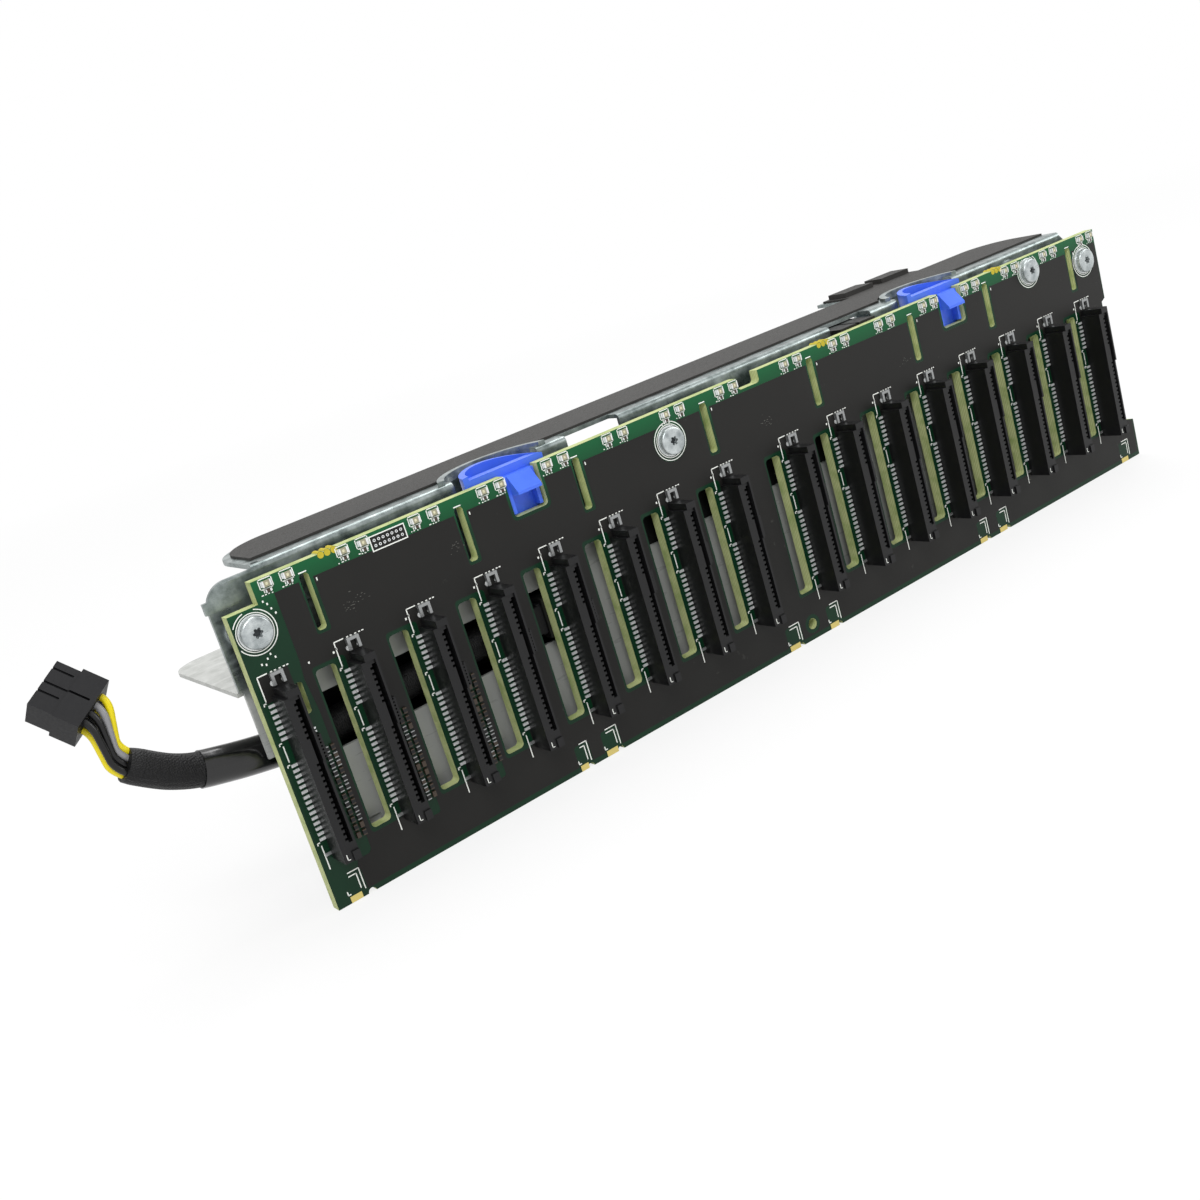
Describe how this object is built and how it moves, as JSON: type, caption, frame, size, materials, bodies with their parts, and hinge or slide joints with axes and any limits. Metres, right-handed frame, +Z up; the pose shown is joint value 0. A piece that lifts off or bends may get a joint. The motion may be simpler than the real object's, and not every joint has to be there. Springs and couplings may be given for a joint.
{
  "type": "drive backplane board",
  "caption": "Long circuit board with a row of drive connectors on a folded steel bracket, with blue release latches and a short power harness.",
  "frame": {"origin": "middle of the board's bottom edge, halfway through the board's thickness", "axes": "+X along the board to the right as seen from the drive side, +Y from the drive side to the rear, +Z up"},
  "size_m": [0.3399, 0.0599, 0.0783],
  "materials": {
    "board": "satin",
    "connector_black": "satin",
    "solder": "bright",
    "lamp": "clear",
    "chip": "matte",
    "bracket_steel": "galvanised",
    "shelf_steel": "galvanised",
    "cover_film": "fine texture",
    "strip_black": "matte",
    "screw_steel": "bright",
    "latch_blue": "satin",
    "pin_steel": "plain",
    "plug_black": "satin",
    "sleeve_black": "braided",
    "shrink_black": "gloss",
    "wire_insulation": "black, with yellow and grey wires"
  },
  "bodies": {
    "chassis": {"backplane_board": "board", "cable_shelf": "shelf_steel", "chip_components": "chip", "connector_hold_downs": "solder", "contact_tails": "solder", "control_chip": "chip", "cover_pads": "cover_film", "data_connector_a": "connector_black", "data_connector_b": "connector_black", "drive_connector_01": "connector_black", "drive_connector_02": "connector_black", "drive_connector_03": "connector_black", "drive_connector_04": "connector_black", "drive_connector_05": "connector_black", "drive_connector_06": "connector_black", "drive_connector_07": "connector_black", "drive_connector_08": "connector_black", "drive_connector_09": "connector_black", "drive_connector_10": "connector_black", "drive_connector_11": "connector_black", "drive_connector_12": "connector_black", "drive_connector_13": "connector_black", "drive_connector_14": "connector_black", "drive_connector_15": "connector_black", "drive_connector_16": "connector_black", "harness_duct": "plug_black", "harness_sleeve": "sleeve_black", "harness_wires": "wire_insulation", "insulating_strip": "strip_black", "lamp_resistors": "chip", "left_latch_pin": "pin_steel", "loose_plug": "plug_black", "mated_plug": "plug_black", "mounting_bracket": "bracket_steel", "mounting_screws": "screw_steel", "power_header": "plug_black", "right_latch_pin": "pin_steel", "shrink_sleeve": "shrink_black", "standoffs": "screw_steel", "status_lamps": "lamp", "top_cover": "cover_film"},
    "left_release_latch": {"left_latch": "latch_blue"},
    "right_release_latch": {"right_latch": "latch_blue"}
  },
  "joints": [
    {"name": "left_latch_hinge", "type": "hinge", "parent": "chassis", "child": "left_release_latch", "pos_m": [-0.0756, 0.008, 0.056], "axis": [-1, 0, 0], "range_deg": [0, 8], "stiffness_Nm_per_rad": 0.01},
    {"name": "right_latch_hinge", "type": "hinge", "parent": "chassis", "child": "right_release_latch", "pos_m": [0.0762, 0.008, 0.056], "axis": [-1, 0, 0], "range_deg": [0, 8], "stiffness_Nm_per_rad": 0.01}
  ]
}
